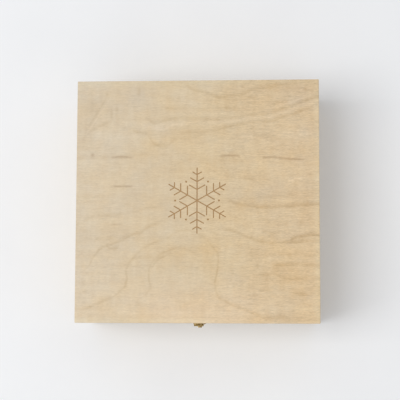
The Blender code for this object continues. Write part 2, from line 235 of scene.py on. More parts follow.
class Finish:
    """A material and the nodes that make it."""

    def __init__(self, name, specular=0.5, metallic=0.0, roughness=0.5):
        self.material = bpy.data.materials.new(name)
        self.material.use_nodes = True
        self.tree = self.material.node_tree
        self.shader = self.tree.nodes["Principled BSDF"]
        self.shader.inputs["Roughness"].default_value = roughness
        self.shader.inputs["Metallic"].default_value = metallic
        self.shader.inputs["Specular IOR Level"].default_value = specular
        self.place = self.node("TexCoord", output="Object")
        self.facing = self.node("TexCoord", output="Normal")

    def feed(self, socket, value):
        """Give a socket a value or a link."""
        if isinstance(value, Signal):
            self.tree.links.new(value.socket, socket)
        elif socket.type == "RGBA" and len(value) == 3:
            socket.default_value = (*value, 1)
        else:
            socket.default_value = value

    def node(self, kind, settings=None, inputs=None, output=0):
        """Add a node: its settings first, then the values or links of its sockets."""
        made = self.tree.nodes.new(f"ShaderNode{kind}")
        for name, value in (settings or {}).items():
            if name == "points":
                self.lay_curve(made.mapping, value)
            else:
                setattr(made, name, value)
        for name, value in (inputs or {}).items():
            self.feed(made.inputs[name], value)
        return Signal(self, made.outputs[output])

    def lay_curve(self, mapping, points):
        mapping.extend = "HORIZONTAL"
        line = mapping.curves[0].points
        line[0].location = points[0]
        line[1].location = points[-1]
        for point in points[1:-1]:
            line.new(*point)
        for point in line:
            point.handle_type = "AUTO_CLAMPED"
        mapping.update()

    def math(self, operation, first, second=0.0):
        return self.node("Math", {"operation": operation}, {0: first, 1: second})

    def axis(self, vector, index):
        return self.node("SeparateXYZ", inputs={0: vector}, output=index)

    def size(self, value):
        return self.math("ABSOLUTE", value)

    def curve(self, value, points):
        return self.node("FloatCurve", {"points": points}, {"Value": value})

    def fade(self, value, start, end):
        """0 up to start and 1 from end on, with a soft step between."""
        return self.node("MapRange", {"interpolation_type": "SMOOTHSTEP"},
                         {"Value": value, "From Min": start, "From Max": end})

    def mix(self, share, first, second, how="MIX"):
        """Colours first and second, mixed."""
        return self.node("Mix", {"data_type": "RGBA", "blend_type": how},
                         {0: share, 6: first, 7: second}, output=2)

    def tint(self, tone, colour, share=1.0):
        """A tone times another colour, by this share."""
        return self.mix(share, tone, colour, "MULTIPLY")

    def shade(self, tone, value):
        """A tone made this many times as bright."""
        return self.tint(tone, self.node("CombineColor", inputs={0: value, 1: value, 2: value}))

    def cloud(self, size, seed, detail):
        """Soft noise from 0 to 1, with lumps of about this size in metres along X, Y and Z.

        Mapping takes the place as it is. Vector Math needs a conversion, and with those the
        veneer would all but fill the room that the renderer has for a shader's values.
        """
        scale = tuple(1 / length for length in size)
        scaled = self.node("Mapping", inputs={"Vector": self.place, "Scale": scale})
        return self.node("TexNoise", {"noise_dimensions": "4D"},
                         {"Vector": scaled, "W": seed, "Scale": 1.0, "Detail": detail})

    def clouds(self, table):
        """The noises of a table, by their names."""
        return {name: self.cloud(*values) for name, values in table.items()}

    def relief(self, height, depth):
        """Let a height from 0 to 1 stand this many metres proud."""
        bump = self.node("Bump", inputs={"Height": height, "Distance": depth})
        self.feed(self.shader.inputs["Normal"], bump)

    def colour(self, value):
        self.feed(self.shader.inputs["Base Color"], value)

    def roughness(self, value):
        self.feed(self.shader.inputs["Roughness"], value)


def srgb(red, green, blue):
    """A colour as read in the photograph, made linear."""
    parts = []
    for value in (red, green, blue):
        share = value / 255
        parts.append(share / 12.92 if share <= 0.04045 else ((share + 0.055) / 1.055) ** 2.4)
    return tuple(parts)


def on_lid(x, y):
    """Where the camera's ray through a pixel of the photograph meets the lid's top."""
    ray = Vector((x - image_pixels / 2, image_pixels / 2 - y, -focal_pixels))
    ray.rotate(camera_turn)
    return camera_place + ray * ((lid_high.z - camera_place.z) / ray.z)


# The lid's veneer. Growth lines are pixels along each line, with how dark it is there.
growth_lines = {
    "upper_valley": [
        (184, 83, 0.17), (192, 89.5, 0.61), (206, 93, 0.78), (220, 97.3, 0.78), (232, 95.8, 0.61),
        (242, 94.4, 0.61), (255, 89, 0.7), (268, 87.5, 0.78), (290, 84, 0.35), (317, 80, 0.17)],
    "upper_left_bend": [
        (82, 141, 0), (86, 136, 0.35), (92, 131, 0.25), (100, 126.3, 0.55), (108, 123, 0.35),
        (113, 121, 0)],
    "knee_left": [
        (84, 136, 0), (88, 128, 0.3), (93, 120, 0.45), (98, 112, 0.55), (103, 104, 0.45), (107, 97, 0)],
    "middle_bend": [
        (116, 125, 0), (124, 128, 0.3), (132, 130, 0.35), (136, 132, 0.7), (142, 133, 0.7),
        (147, 135, 0.45), (151, 140, 0.6), (155, 144.5, 0.6), (160, 146.5, 0.55), (166, 146.5, 0.55),
        (171, 142.5, 0.45), (175, 139, 0.35), (184, 137.5, 0.25), (196, 137, 0.2), (204, 137, 0)],
    "lower_band": [
        (146, 104, 0), (156, 107.5, 0.2), (170, 108.3, 0.3), (186, 108, 0.25), (200, 109.5, 0.2),
        (212, 109.5, 0.15), (224, 107.8, 0.35), (232, 108, 0.2), (244, 106, 0.15), (258, 104.5, 0)],
    "branch_shadow": [
        (264, 108, 0), (274, 104.5, 0.4), (284, 101.5, 0.5), (292, 100, 0.4), (298, 97, 0)],
    "right_pool": [
        (252, 134.5, 0), (258, 135.5, 0.27), (266, 136.3, 0.32), (273, 137, 0.18), (280, 141, 0.27),
        (286, 143, 0)],
    "upper_wave": [
        (140, 117, 0), (148, 120, 0.3), (155, 123.5, 0.65), (162, 122, 0.65), (175, 118.5, 0.45),
        (195, 118.3, 0.55), (213, 119.5, 0.6), (232, 118, 0.55), (250, 115.5, 0.5), (266, 113.8, 0.65),
        (278, 110.5, 0.55), (290, 106.5, 0.65), (301, 102.5, 0.9), (311, 98.7, 1.15), (319, 97, 0.9)],
    "lower_wave": [
        (176, 131, 0), (184, 132.3, 0.5), (203, 131.8, 0.45), (215, 130.8, 0.45), (223, 128, 0.6),
        (235, 125.5, 0.8), (248, 123.3, 0.6), (262, 122, 0.65), (272, 120.8, 0.8), (288, 115.5, 0.7),
        (297, 113.2, 1), (304, 110, 0.35), (319, 103, 0.25)],
    "right_wave": [
        (226, 200.5, 0), (233, 202.5, 0.85), (240, 204.7, 0.75), (250, 206.2, 0.65), (259, 207.3, 1.2),
        (270, 207.7, 1.1), (282, 207, 0.8), (300, 205.3, 0.95), (319, 204, 0.9)],
    "right_dip": [
        (222, 229, 0), (232, 231, 0.9), (240, 233.6, 0.75), (250, 238.5, 0.85), (260, 241.6, 0.9),
        (270, 243.2, 0.65), (280, 243.2, 0.75), (288, 242.2, 1.3), (296, 242.4, 1.4), (304, 241.7, 0.7),
        (319, 241, 0.3)],
    "dip_branch": [
        (290, 240, 0), (295, 238, 1.33), (300, 237, 1.33), (306, 236, 1.14), (313, 235.3, 1.14),
        (319, 235, 0.57)],
    "dip_roof": [
        (258, 229, 0), (264, 231.5, 0.4), (274, 233.5, 0.5), (284, 233, 0.4), (292, 231.5, 0.3),
        (298, 229, 0)],
    "shelf_dashes": [
        (246, 222, 0), (252, 221.5, 0.35), (260, 219.5, 0.45), (270, 221.5, 0.3), (282, 222, 0.2),
        (290, 221, 0)],
    "corner_roof": [
        (246, 259, 0), (254, 258, 0.14), (262, 257.3, 0.21), (269, 255, 0.1), (280, 254.5, 0.1),
        (288, 253.7, 0.21), (297, 252.5, 0.14), (305, 249, 0)],
    "second_left_arc": [
        (106, 246, 0), (110, 249, 0.8), (115, 249, 0.8), (120, 245, 0)],
    "high_left_arc": [
        (94, 241, 0), (98, 239, 0.65), (104, 240, 0.39), (110, 238.5, 0.59), (114, 238, 0)],
    "arch_shelf": [
        (130, 258.6, 0), (137, 258.2, 0.35), (146, 257.2, 0.5), (156, 256.5, 0)],
    "arch_shelf_right": [
        (158, 259.5, 0), (162, 257.9, 0.2), (168, 256, 0.2), (173, 255.5, 0)],
    "left_arc": [
        (82, 272, 0), (87, 268, 0.4), (92, 260, 0.5), (96, 254, 0.6), (101, 248.5, 0.9),
        (107, 246, 0.85), (113, 243.8, 0.75), (120, 241, 0.75), (128, 237, 0.75), (135, 233.8, 0.65),
        (141, 232.5, 0.6), (147, 228, 0.85), (155, 224.8, 0.7), (163, 222, 0)],
    "faint_rise": [
        (80, 224, 0.2), (84, 221.5, 0.35), (90, 218.5, 0.35), (96, 214.7, 0.4), (102, 215.5, 0.45),
        (113, 215.5, 0.55), (124, 213.5, 0.45), (137, 211.5, 0.35), (150, 207.8, 0.35), (163, 207, 0)],
    "faint_middle": [
        (234, 177.5, 0), (243, 178, 0.25), (250, 179, 0.5), (255, 181, 0.3), (262, 179.5, 0.2),
        (272, 180, 0.2), (290, 182, 0.1), (319, 183, 0.1)],
    "inner_echo": [
        (150, 272, 0), (153, 266, 0.47), (157, 260.5, 0.54), (164, 256.5, 0.54), (172, 253, 0)],
    "faint_shelf": [
        (238, 197.5, 0.15), (252, 198, 0.3), (266, 196.8, 0.5), (284, 196.3, 0.45), (303, 193, 0.15),
        (319, 192, 0.1)],
    "corner_upper": [
        (256, 267, 0.2), (268, 265, 0.1), (276, 265, 0.6), (284, 265.3, 1.1), (295, 264.6, 0.7),
        (319, 266, 0.7)],
    "corner_middle": [
        (258, 274.5, 0.2), (268, 275, 0.7), (275, 274, 0.5), (282, 277.6, 0.5), (292, 279, 0.85),
        (304, 278.3, 0.45), (319, 278, 0.35)],
    "corner_lower": [
        (258, 291, 0.1), (266, 289.7, 0.5), (275, 290, 0.2), (284, 291, 0.1), (294, 293.5, 0.35),
        (303, 295, 0.5), (319, 294, 0.4)],
    "corner_foot": [
        (262, 318, 0.2), (276, 317.7, 0.8), (290, 317.6, 0.45), (303, 318.3, 0.25), (319, 318.5, 0.3)],
    "arch_toe": [
        (81, 310, 0), (84, 309, 0.3), (88, 307.8, 0.45), (98, 303.6, 0.6), (105, 300.2, 0.85),
        (112, 297.8, 0.35), (118, 294, 0)],
    "arch_tail": [
        (214, 296, 0), (219, 298.7, 0.35), (228, 302.7, 0.95), (235, 306.7, 0.7), (248, 311.3, 0.8),
        (259, 316, 0.6), (268, 320.8, 0.3)],
}
growth_line_width = 0.0014
growth_line_skirt = 0.0026      # on the line's softer side

# Ridges of pale wood beside the growth lines
pale_lines = {
    "under_wave": [
        (132, 121, 0), (138, 123, 0.7), (146, 125.5, 0.9), (155, 128.5, 1), (163, 129, 1.1),
        (172, 125.5, 1.3), (185, 123.5, 0.7), (206, 122.5, 0.6), (219, 122, 0.9), (234, 121, 1.1),
        (247, 118.2, 0.9), (262, 117.5, 1.5), (273, 116.4, 1.4), (283, 112.6, 0.7), (296, 108.6, 0.7),
        (308, 104.2, 0.7), (319, 100.5, 0.5)],
    "knee_side": [
        (85, 136, 0), (89, 130, 0.8), (93, 124.5, 1.1), (97, 118.5, 1.4), (100, 113.5, 1.1),
        (104, 108, 0.9), (108, 102, 0.8), (111, 97, 0)],
    "upper_ridge": [
        (146, 117, 0), (153, 115.5, 0.15), (161, 113, 0.26), (171, 112.3, 0.3), (182, 113, 0.22),
        (192, 113.5, 0)],
    "branch_ridge": [
        (262, 111, 0), (272, 108.3, 1.3), (284, 104.3, 1.59), (294, 101.3, 1.59), (303, 98, 1.59),
        (307, 96.5, 0)],
    "pool_ridge": [
        (234, 140, 0), (238, 138, 1.1), (244, 136.6, 1.3), (251, 137, 1.1), (260, 139, 0.9),
        (268, 141.5, 0.7), (275, 143.5, 0)],
    "low_right_ridge": [
        (282, 183, 0), (290, 181.3, 1.26), (297, 179.5, 1.4), (303, 176.5, 1.12), (307, 174, 0)],
}

# Arches, whose pixels go round the foot of the figure from its left to its right
arch_foot_pixel = (172, 300)
arch_lines = {
    "outer_arch": [
        (111, 298, 0), (116, 295, 0.5), (120, 291, 0.55), (125, 286, 0.8), (127, 279, 0.7),
        (126, 272, 0.6), (127.3, 266, 0.45), (130.5, 261, 0.8), (134, 257, 0.55), (142, 249, 0.45),
        (148, 245, 0.6), (158, 241.5, 0.5), (167, 238, 0.3), (179, 231, 0.4), (192, 231.5, 0.35),
        (205, 238, 0.3), (211, 245, 0.65), (217, 252, 0.7), (218, 262, 0.6), (216.5, 275, 0.9),
        (215, 283, 0.8), (216, 291, 0.7), (219, 298, 0.5), (222, 303, 0)],
    "inner_arch": [
        (135, 308, 0.1), (138, 300, 0.3), (145, 295, 0.35), (150, 288.5, 0.5), (149, 280, 0.6),
        (149, 271, 0.45), (153, 261, 0.35), (160.5, 254, 0.7), (170, 250, 0.9), (178, 248.2, 0.3),
        (188, 249.7, 0.4), (197, 254, 0)],
}
arch_reach = 0.14               # radius at which the arches' curves end

# Short brown mineral streaks and one pin knot
streaks = {
    "left_upper_streak": [
        (110, 157.5, 0), (114, 157.2, 0.75), (122, 156.8, 1), (128, 157.1, 0.75), (134, 157.6, 0)],
    "left_lower_streak": [
        (109, 186, 0), (113, 186.2, 0.4), (119, 186.3, 1), (124, 186.6, 0.8), (128, 186.6, 1),
        (132, 186.3, 0.5), (136, 185, 0)],
    "middle_streak": [
        (219, 156.2, 0), (225, 155.8, 0.9), (231, 155.6, 1.13), (237, 155.8, 1.47), (241, 156.8, 0)],
    "right_streak": [
        (262, 157.4, 0), (266, 157.2, 0.9), (274, 157.4, 0.8), (284, 158.4, 0.9), (292, 159, 1.2),
        (300, 159.4, 1), (305, 159.6, 0)],
    "low_left_dash": [
        (109, 224.5, 0), (114, 224.6, 0.38), (119, 224.6, 0.38), (123, 224, 0)],
    "waist_dash": [
        (113, 282, 0), (116, 281, 0.17), (121, 281, 0.14), (125, 281, 0)],
}
streak_width = 0.0012

# Soft spots: the pixel of the middle, half the width, half the height and how dark
smudges = {
    "smoky_stroke": (111.6, 114, 1.5, 5.5, 0.9),
    "smoky_right": (116.8, 110, 1.8, 2.2, 0.7),
    "smoky_foot": (116.4, 115.5, 2, 2, 0.5),
    "smoky_bend": (104, 104, 2.5, 5.5, 0.4),
    "smoky_tick": (107.3, 94.4, 1.4, 2, 0.8),
    "left_cloud": (92, 107, 5, 7, 0.5),
    "left_edge_spot": (85.5, 183, 3.2, 2, 0.7),
    "upper_blot": (138, 94, 2, 1.8, 0.6),
    "upper_cloud": (134, 106, 2.4, 4.5, 0.4),
    "band_left": (170, 98.5, 4.5, 2, 0.4),
    "band_middle": (179, 99, 3, 3, 0.4),
    "band_under": (172, 107.5, 7, 2.2, 0.3),
    "upper_stroke": (139, 91, 2, 4.5, 0.7),
    "tick_low": (115, 275, 3, 1.6, 0.5),
    "left_low_spot": (83.5, 283, 2, 2.5, 0.6),
    "left_low_eye": (84.5, 291.5, 2, 1.8, 0.6),
    "foot_dot": (138.5, 304, 1.6, 1.4, 0.6),
    "shelf_spot": (301.5, 221, 1.8, 2.2, 0.6),
    "low_dash": (255, 295, 3.6, 1.3, 0.5),
    "bend_cloud": (157, 145, 6, 2.8, 0.5),
    "valley_spot": (226.4, 108, 1.8, 1.5, 0.9),
    "valley_cloud": (232.5, 108.3, 3, 1.8, 0.45),
    "high_dash": (251, 97.5, 5, 0.9, 0.8),
    "middle_dash": (257, 102.3, 8, 1, 0.55),
    "right_dash": (276, 101.6, 2.6, 1.2, 0.7),
    "right_spot": (289.5, 96.2, 3, 1.4, 0.7),
    "corner_dash": (288.6, 87.4, 4, 0.8, 0.7),
    "corner_spot": (306, 89.4, 1.6, 2, 0.8),
    "wave_spot": (289.9, 127.4, 1.4, 0.9, 1),
    "right_cloud": (266, 135, 5, 3.5, 0.45),
    "dip_cloud": (302, 239, 3, 2, 0.6),
    "side_dash": (295, 153.5, 3.4, 1.1, 0.7),
    "low_spot": (181.4, 269.5, 2.6, 3, 0.6),
    "low_dot": (196.8, 268.2, 1.4, 1.4, 0.7),
    "foot_left": (179, 301.4, 3.2, 1.6, 0.5),
    "foot_right": (187.3, 303.6, 4, 1.5, 0.45),
    "arch_end": (89.5, 307.3, 2.2, 1.2, 0.8),
    "corner_eye": (276, 267, 3, 2.6, 0.7),
    "corner_shade": (301.4, 293.6, 4.8, 2.2, 0.8),
    "corner_tick": (257.7, 266, 1.8, 3, 0.6),
}
pale_smudges = {
    "under_bend": (158, 127.5, 14, 3.6, 1.3),
    "bright_knee": (173.6, 125.6, 3.4, 2, 0.8),
    "bend_pool": (162.5, 141, 5, 2.2, 0.8),
    "knee_right": (119.4, 108, 1.3, 5.5, 0.6),
    "knee_foot": (121, 117, 1.3, 4, 0.5),
    "valley_glow": (214.5, 90, 7, 3.6, 0.6),
    "right_gleam": (274, 146, 3.6, 1.4, 1),
    "right_gleam_tail": (279, 151.4, 6.5, 1.1, 0.7),
    "left_gleam": (100, 134, 4, 20, 0.7),
}
amber_patches = {
    "lower_right": (294, 276, 30, 24, 0.8),
    "lower_right_heart": (288, 272, 12, 7, 0.5),
    "lower_middle": (180, 256, 60, 14, 0.25),
    "middle_fork": (170, 140, 14, 10, 0.45),
    "upper_band": (232, 101, 60, 7, 0.3),
    "upper_edge": (268, 84, 13, 6, 0.5),
    "streak_halo": (148, 148, 16, 11, 0.6),
    "left_rise": (117, 227, 30, 12, 0.55),
    "left_shoulder": (106, 246, 15, 9, 0.45),
    "low_left": (103, 306, 10, 11, 0.9),
    "left_leg": (121, 288, 9, 10, 0.45),
    "front_left": (126, 319, 20, 6, 0.4),
    "arch_crown": (178, 252, 10, 8, 0.6),
    "arch_shoulder": (208, 247, 9, 8, 0.55),
    "wave_start": (240, 207, 14, 7, 0.65),
    "dip_flame": (278, 248, 18, 8, 0.7),
    "front_flame": (257, 318, 12, 8, 0.8),
    "corner_flame": (299, 256, 13, 10, 0.7),
    "edge_flame": (316, 238, 9, 12, 0.6),
    "left_foot": (133, 259, 9, 12, 0.6),
    "left_rim": (92, 265, 8, 12, 0.5),
    "wave_end": (304, 113, 16, 8, 0.6),
    "inner_leg": (147, 278, 8, 13, 0.5),
    "left_crook": (152, 218, 9, 14, 0.5),
}
cool_patches = {
    "upper_left_pool": (138, 93, 10, 14, 0.6),
    "valley_pool": (213, 86, 12, 8, 0.7),
    "ridge_pool": (200, 103, 20, 8, 0.65),
    "band_pool": (225, 118, 20, 7, 0.8),
    "wave_pool": (298, 101, 14, 8, 0.7),
    "fork_pool": (161, 130, 9, 8, 0.7),
    "side_pool": (305, 132, 12, 10, 0.95),
    "waist_pool": (275, 192, 32, 9, 1.15),
    "foot_pool": (160, 306, 10, 13, 1.3),
    "corner_pool": (309, 296, 11, 9, 0.7),
    "leg_pool": (230, 278, 9, 10, 0.5),
}
pin_knot = {"pin_knot": (92.6, 155, 1.9, 1.9, 1.0)}
pixel_size = 0.00102            # of the lid, across and up


def line_points(pixels):
    """Shares of the lid across and up it for each point of a line, and the line's darkness."""
    places = []
    weights = []
    for x, y, dark in pixels:
        place = on_lid(x, y) - lid_low
        across = place.x / lid_size.x
        places.append((across, place.y / lid_size.y))
        weights.append((across, dark))
    return places, weights


def arch_points(pixels, foot):
    """Shares of a turn and of the arches' reach for each point of an arch, and its darkness."""
    places = []
    weights = []
    for x, y, dark in pixels:
        place = on_lid(x, y) - foot
        turn = atan2(place.x, place.y) / (2 * pi) + 0.5
        places.append((turn, hypot(place.x, place.y) / arch_reach))
        weights.append((turn, dark))
    return places, weights


def ridge(finish, distance, near, far):
    """1 on a line and 0 away from it, with a sharper side below and a softer one above."""
    below = finish.math("MINIMUM", distance, 0.0) / near
    above = finish.math("MAXIMUM", distance, 0.0) / far
    return finish.math("EXPONENT", 0.0 - (below * below + above * above))


def lid_lines(finish, lines, across, up, near, far):
    """How dark the lid is from all these lines together."""
    dark = 0.0
    for pixels in lines.values():
        places, weights = line_points(pixels)
        distance = (up - finish.curve(across, places)) * lid_size.y
        dark = ridge(finish, distance, near, far) * finish.curve(across, weights) + dark
    return dark


def lid_arches(finish, x, y, near, far):
    """How dark the lid is from its arches."""
    foot = on_lid(*arch_foot_pixel)
    right = x - foot.x
    up = y - foot.y
    turn = finish.math("ARCTAN2", right, up) / (2 * pi) + 0.5
    radius = (right * right + up * up) ** 0.5
    dark = 0.0
    for pixels in arch_lines.values():
        places, weights = arch_points(pixels, foot)
        distance = radius - finish.curve(turn, places) * arch_reach
        dark = ridge(finish, distance, near, far) * finish.curve(turn, weights) + dark
    return dark


def lid_spots(finish, spots, x, y):
    """How dark the lid is from soft oval spots."""
    dark = 0.0
    for across_pixel, down_pixel, half_width, half_height, strength in spots.values():
        middle = on_lid(across_pixel, down_pixel)
        right = (x - middle.x) / (half_width * pixel_size)
        above = (y - middle.y) / (half_height * pixel_size)
        dark = finish.math("EXPONENT", 0.0 - (right * right + above * above)) * strength + dark
    return dark


# Broad tones over the left one: middle, fades out from it and up the lid, strength, colour
left_tone = srgb(212, 195, 169)
broad_tones = {
    "middle": (0, (0, 0.62), None, 1, srgb(214, 192, 157)),
    "right": (0, (0.55, 1), None, 1, srgb(216, 191, 155)),
    "back_right": (0, (0.50, 0.95), (0.80, 1), 0.6, srgb(207, 183, 149)),
    "front_left": (0, (0.35, 0), (0.45, 0), 0.8, srgb(219, 201, 174)),
    "front_middle": (0.52, (0.42, 0.10), (0.24, 0.02), 0.9, srgb(222, 198, 165)),
}
amber_tint = (1.01, 0.975, 0.91)
cool_tint = (0.975, 1.0, 1.06)
rim_width = 0.0085              # how far in from the lid's edges its tone is paler, but not at the left
rim_full = 0.0015               # from the edge to where it is palest
rim_tint = (1.04, 1.075, 1.10)
front_rim_end = (0.50, 0.62)    # across the lid, where the front's rim stops
top_edge = (0.2, 0.6)           # how far up a face looks before it counts as the top
side_edge = (0.3, 0.7)


def sheet_tone(finish, x, y, across, up):
    """Tone of the whole sheet, with its amber and cool patches and its rim."""
    tone = left_tone
    for middle, side, level, strength, colour in broad_tones.values():
        share = finish.fade(finish.size(across - middle), *side)
        if level:
            share = share * finish.fade(up, *level)
        tone = finish.mix(share * strength, tone, colour)
    tone = finish.tint(tone, amber_tint, lid_spots(finish, amber_patches, x, y))
    tone = finish.tint(tone, cool_tint, lid_spots(finish, cool_patches, x, y))
    front_gap = y - lid_low.y + finish.fade(across, *front_rim_end) * rim_width
    gap = finish.math("MINIMUM", finish.math("MINIMUM", lid_high.x - x, lid_high.y - y), front_gap)
    return finish.tint(tone, rim_tint, finish.fade(gap, rim_width, rim_full))


# Noises of the veneer: a lump's size along X, Y and Z, the seed and the detail
veneer_noises = {
    "wobble": ((0.010, 0.006, 0.01), 3.1, 3),
    "mottle": ((0.030, 0.016, 0.03), 7.7, 3),
    "bands": ((0.110, 0.0050, 0.03), 1.3, 3),
    "shimmer": ((0.0050, 0.019, 0.03), 15.2, 2),
    "flecks": ((0.0055, 0.0026, 0.01), 27.4, 2),
    "fibres": ((0.010, 0.0013, 0.01), 5.9, 3),
    "pores": ((0.0030, 0.00030, 0.01), 9.2, 2),
    "grit": ((0.0026, 0.0016, 0.01), 33, 2),
    "dashes": ((0.017, 0.0021, 0.01), 61.5, 2),
    "wide_hue": ((0.044, 0.036, 0.03), 52, 2),
    "narrow_hue": ((0.017, 0.014, 0.03), 57, 2),
    "patches": ((0.009, 0.003, 0.01), 41, 2),
    "core": ((0.0007, 0.0007, 0.004), 2.2, 3),
    "soot": ((0.0022, 0.0022, 0.01), 4.4, 3),
}
wobble_reach = 0.0022           # metres, of the growth lines
mottle_reach = 0.17
shimmer_reach = 0.15
band_reach = 0.17
drift_shares = (0.73, 1.07, 1.5)        # of these three in red, green and blue
grit_reach = 0.10
fibre_reach = 0.40
pore_reach = 0.60
busy_low = 0.65                 # how lively fibres, pores and flecks are at the left
busy_rise = 0.5                 # and how much more so at the right
busy_start = (0.30, 0.80)
fleck_edge = (0.56, 0.74)
fleck_strength = 0.35
fleck_tint = (0.91, 0.86, 0.80)
dash_edge = (0.55, 0.72)
dash_start = (0.55, 1)          # dashes come in towards the back right corner
dash_slant = 0.35
dash_strength = 0.22
dash_tint = (0.90, 0.85, 0.79)
hue_edge = (0.30, 0.70)
blue_hue = (0.988, 1.0, 1.020)
amber_hue = (1.010, 0.999, 0.972)


def swing(noise, reach):
    """Make a noise go up and down about zero."""
    return (noise - 0.5) * reach


def fine_grain(finish, noise, tone, across, up):
    """Lay mottling, bands, a cross shimmer, fibres, pores, flecks, dashes and hues on a tone."""
    drift = (swing(noise["mottle"], mottle_reach) + swing(noise["shimmer"], shimmer_reach)
             + swing(noise["bands"], band_reach))
    channels = [1.0 + drift * share for share in drift_shares]
    tone = finish.tint(tone, finish.node("CombineColor", inputs=dict(enumerate(channels))))
    busy = busy_low + busy_rise * finish.fade(across, *busy_start)
    lively = swing(noise["fibres"], fibre_reach) + swing(noise["pores"], pore_reach)
    tone = finish.shade(tone, 1.0 + swing(noise["grit"], grit_reach) + lively * busy)
    flecks = finish.fade(noise["flecks"], *fleck_edge) * busy
    tone = finish.tint(tone, fleck_tint, flecks * fleck_strength)
    back_right = finish.fade(across + up * dash_slant, *dash_start)
    dashes = finish.fade(noise["dashes"], *dash_edge) * back_right
    tone = finish.tint(tone, dash_tint, dashes * dash_strength)
    for name in ("wide_hue", "narrow_hue"):
        share = finish.fade(noise[name], *hue_edge)
        tone = finish.tint(tone, finish.mix(share, blue_hue, amber_hue))
    return tone


smudge_strength = 0.8
pale_smudge_strength = 0.6
patch_low = 0.55                # how strong the figure is in its faintest patches
patch_rise = 0.9
grain_strength = 0.75
grain_tint = (0.84, 0.80, 0.73)
streak_strength = 0.75
streak_tint = (0.71, 0.65, 0.60)
ridge_strength = 0.5
ridge_tint = (1.105, 1.105, 1.125)


def figure(finish, noise, tone, x, y, across, up):
    """Draw growth lines, arches, ridges, streaks and spots on the top of the lid."""
    top_side = finish.fade(finish.axis(finish.facing, Z), *top_edge)
    width = growth_line_width
    grain = lid_lines(finish, growth_lines, across, up, width, growth_line_skirt)
    grain = lid_arches(finish, x, y, width, width) + grain
    grain = lid_spots(finish, smudges, x, y) * smudge_strength + grain
    pale = lid_lines(finish, pale_lines, across, up, width, width)
    pale = lid_spots(finish, pale_smudges, x, y) * pale_smudge_strength + pale
    brown = lid_lines(finish, streaks, across, up, streak_width, streak_width)
    brown = lid_spots(finish, pin_knot, x, y) + brown
    patchy = patch_low + patch_rise * noise["patches"]
    tone = finish.tint(tone, grain_tint, grain * patchy * top_side * grain_strength)
    tone = finish.tint(tone, streak_tint, brown * top_side * streak_strength)
    return finish.tint(tone, ridge_tint, pale * top_side * ridge_strength)


lid_core_edge = (0.30, 0.27)    # shares of a panel's thickness, out from its middle
floor_core_edge = (0.24, 0.20)
core_dark = srgb(168, 136, 98)
core_pale = srgb(205, 176, 134)
scorch_start = 0.00003          # below the lid's top
scorch_full = 0.00008
scorch_dark = srgb(159, 123, 80)
scorch_pale = srgb(187, 153, 109)
engraved_share = 1.5            # of an arm's reach, to each side, where wood may be scorched
veneer_roughness = 0.46
fibre_roughness = 0.12
scorch_roughness = 0.15
fibre_relief_share = 0.6
pore_relief_share = 0.4
veneer_relief = 0.00003
wood_relief = 0.00004


def core_plies(finish, low, high, edge):
    """1 on a panel's core where its side is seen, and 0 elsewhere."""
    side_on = 1.0 - finish.fade(finish.size(finish.axis(finish.facing, Z)), *side_edge)
    height = (finish.axis(finish.place, Z) - low.z) / (high.z - low.z)
    return side_on * finish.fade(finish.size(height - 0.5), *edge)


def engraved_area(finish, z):
    """1 in the grooves of the lid's top, which lie well inside its edges, and 0 elsewhere."""
    inside = finish.math("GREATER_THAN", z, lid_high.z - groove_depth * 2)
    for axis in (X, Y):
        far = finish.size(finish.axis(finish.place, axis))
        inside = inside * finish.math("LESS_THAN", far, arm_reach * engraved_share)
    return inside


def wood_grain_relief(finish, noise, depth):
    """Let a wood's fibres and pores stand proud."""
    finish.relief(noise["fibres"] * fibre_relief_share + noise["pores"] * pore_relief_share, depth)


def lid_veneer():
    """Birch veneer with its figure, the scorched engraving and the plies of its edge."""
    finish = Finish("birch_lid_veneer", specular=0.35)
    noise = finish.clouds(veneer_noises)
    x = finish.axis(finish.place, X)
    y = finish.axis(finish.place, Y) + swing(noise["wobble"], wobble_reach)
    z = finish.axis(finish.place, Z)
    across = (x - lid_low.x) / lid_size.x
    up = (y - lid_low.y) / lid_size.y
    tone = sheet_tone(finish, x, y, across, up)
    tone = fine_grain(finish, noise, tone, across, up)
    tone = figure(finish, noise, tone, x, y, across, up)
    core_tone = finish.mix(noise["core"], core_dark, core_pale)
    tone = finish.mix(core_plies(finish, lid_low, lid_high, lid_core_edge), tone, core_tone)
    groove = finish.fade(z, lid_high.z - scorch_start, lid_high.z - scorch_full)
    burnt = groove * engraved_area(finish, z)
    tone = finish.mix(burnt, tone, finish.mix(noise["soot"], scorch_dark, scorch_pale))
    finish.colour(tone)
    finish.roughness(veneer_roughness + noise["fibres"] * fibre_roughness + burnt * scorch_roughness)
    wood_grain_relief(finish, noise, veneer_relief)
    return finish.material


# Noises of the boards: a lump's size along, through and up, what the seed gains, and the detail
board_noises = {
    "drift": (0.160, 0.030, 0.030, 0, 2),
    "pace": (0.5, 0.5, 0.5, 0.4, 0),
    "fading": (0.09, 0.09, 0.016, 6.2, 2),
    "fibres": (0.016, 0.0009, 0.0009, 1.7, 3),
    "pores": (0.0035, 0.00020, 0.00020, 4.1, 2),
    "mottle": (0.05, 0.05, 0.03, 8.8, 2),
}
first_board_seed = 10.0
board_seed_step = 3.3
ring_width = 0.0058
ring_drift = 0.030
late_wood_rise = (0.30, 0.93)   # shares of a ring
late_wood_fall = (1, 0.94)
fading_edge = (0.25, 0.75)
late_wood_strength = 0.55
late_wood_tint = (0.91, 0.86, 0.81)
board_dark = srgb(211, 190, 157)
board_pale = srgb(220, 200, 167)
board_fibre_reach = 0.16
board_pore_reach = 0.12
end_edge = (0.55, 0.85)
end_grain_tint = (0.84, 0.79, 0.71)
board_roughness = 0.50
end_grain_roughness = 0.12


